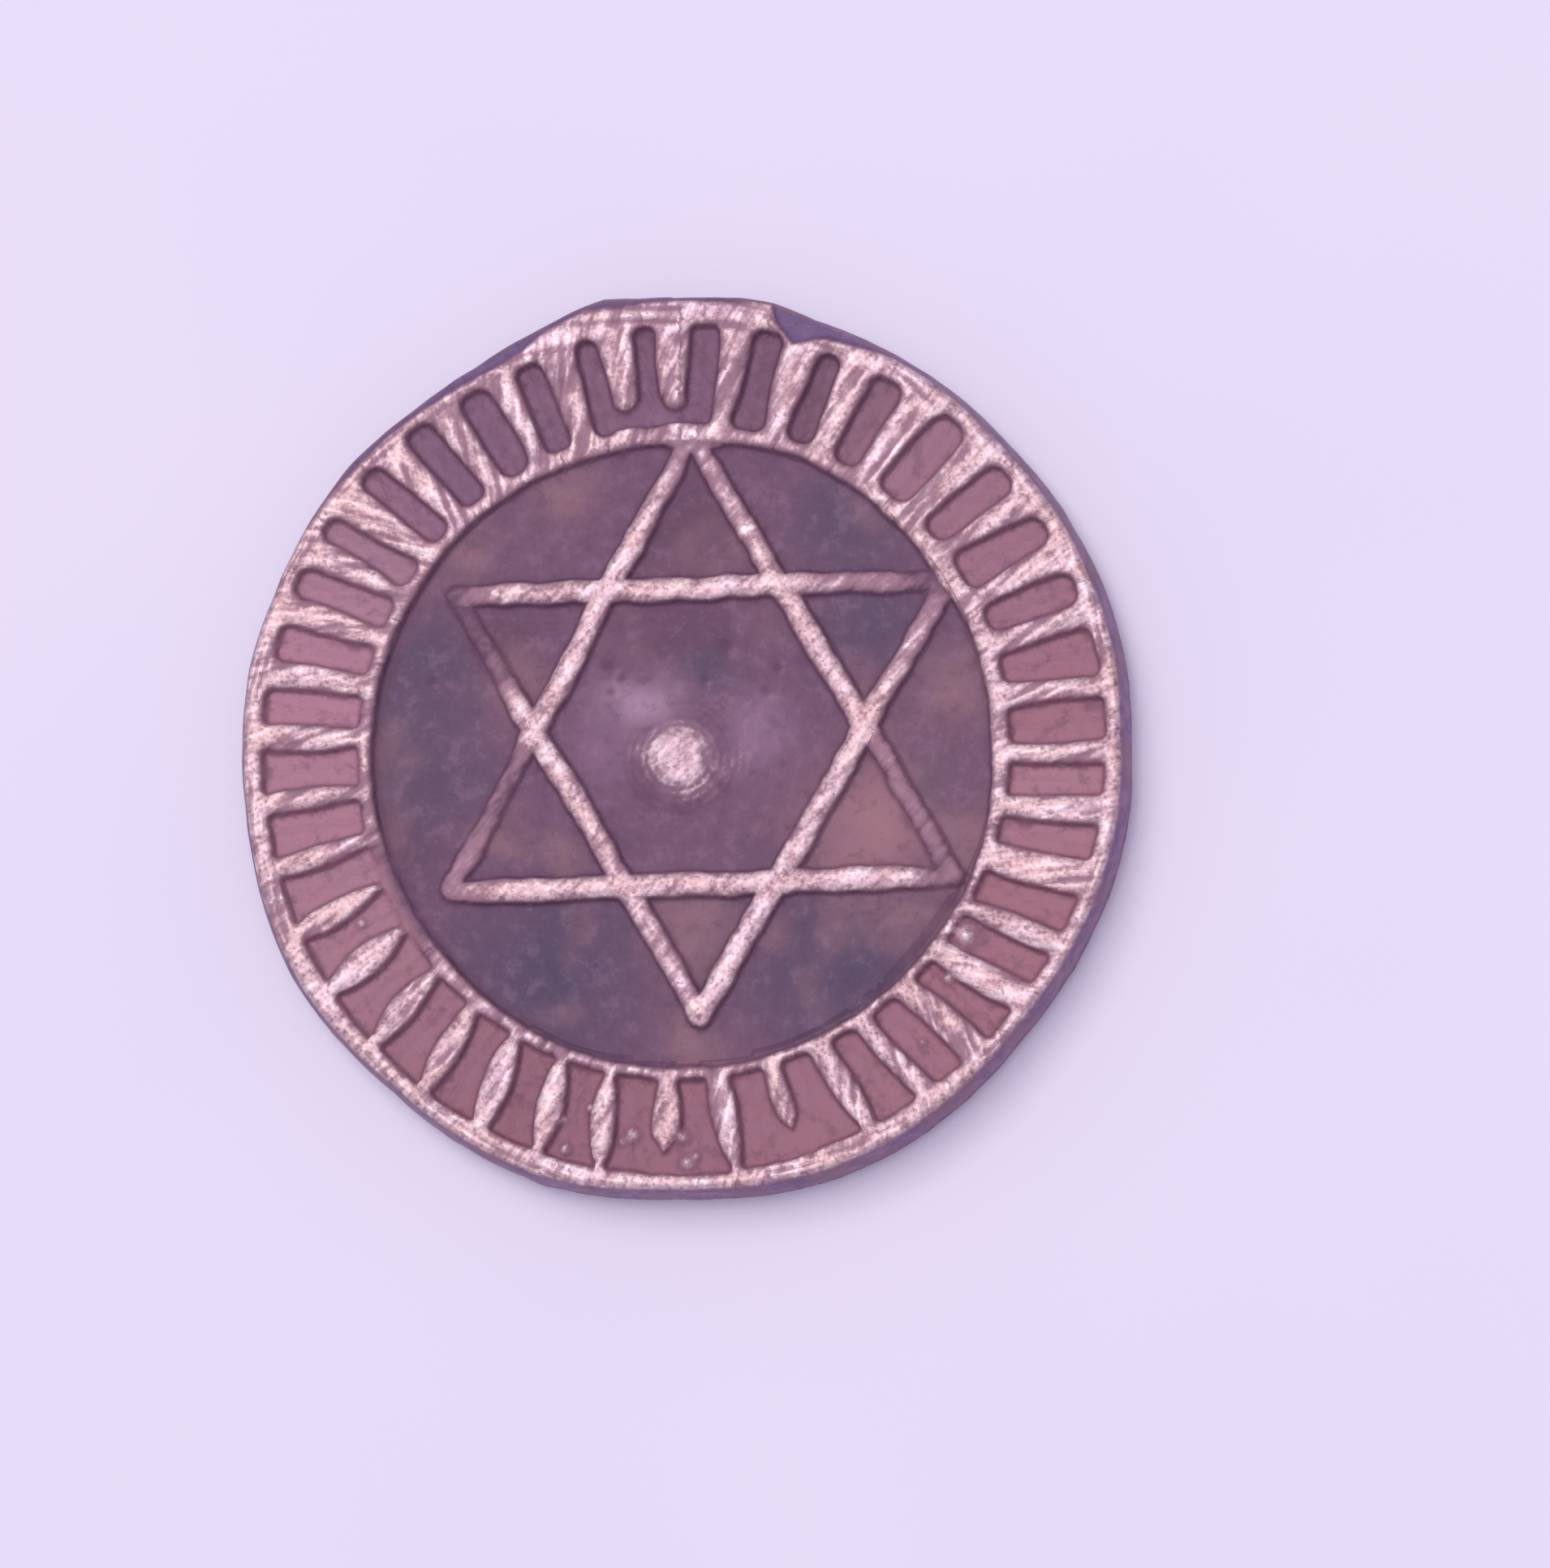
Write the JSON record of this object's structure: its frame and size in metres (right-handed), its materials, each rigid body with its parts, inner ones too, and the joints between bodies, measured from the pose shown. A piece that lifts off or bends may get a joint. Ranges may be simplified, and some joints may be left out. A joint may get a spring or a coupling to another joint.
{
  "type": "fare token",
  "caption": "Round cast copper-alloy fare token with a ribbed border, an inner ring, a six-pointed star and a low centre boss on a sunken field.",
  "frame": {"origin": "centre of the flan on the plane that the reverse rests on", "axes": "+Z out of the obverse, +Y towards the stub of the casting runner at the top of the token, +X to its right"},
  "size_m": [0.023, 0.0231, 0.002],
  "materials": {
    "copper_alloy": "worn cast copper alloy, bright on the raised work and dark purple-brown patina in the recesses"
  },
  "bodies": {
    "root": {"token": "copper_alloy"}
  },
  "joints": []
}
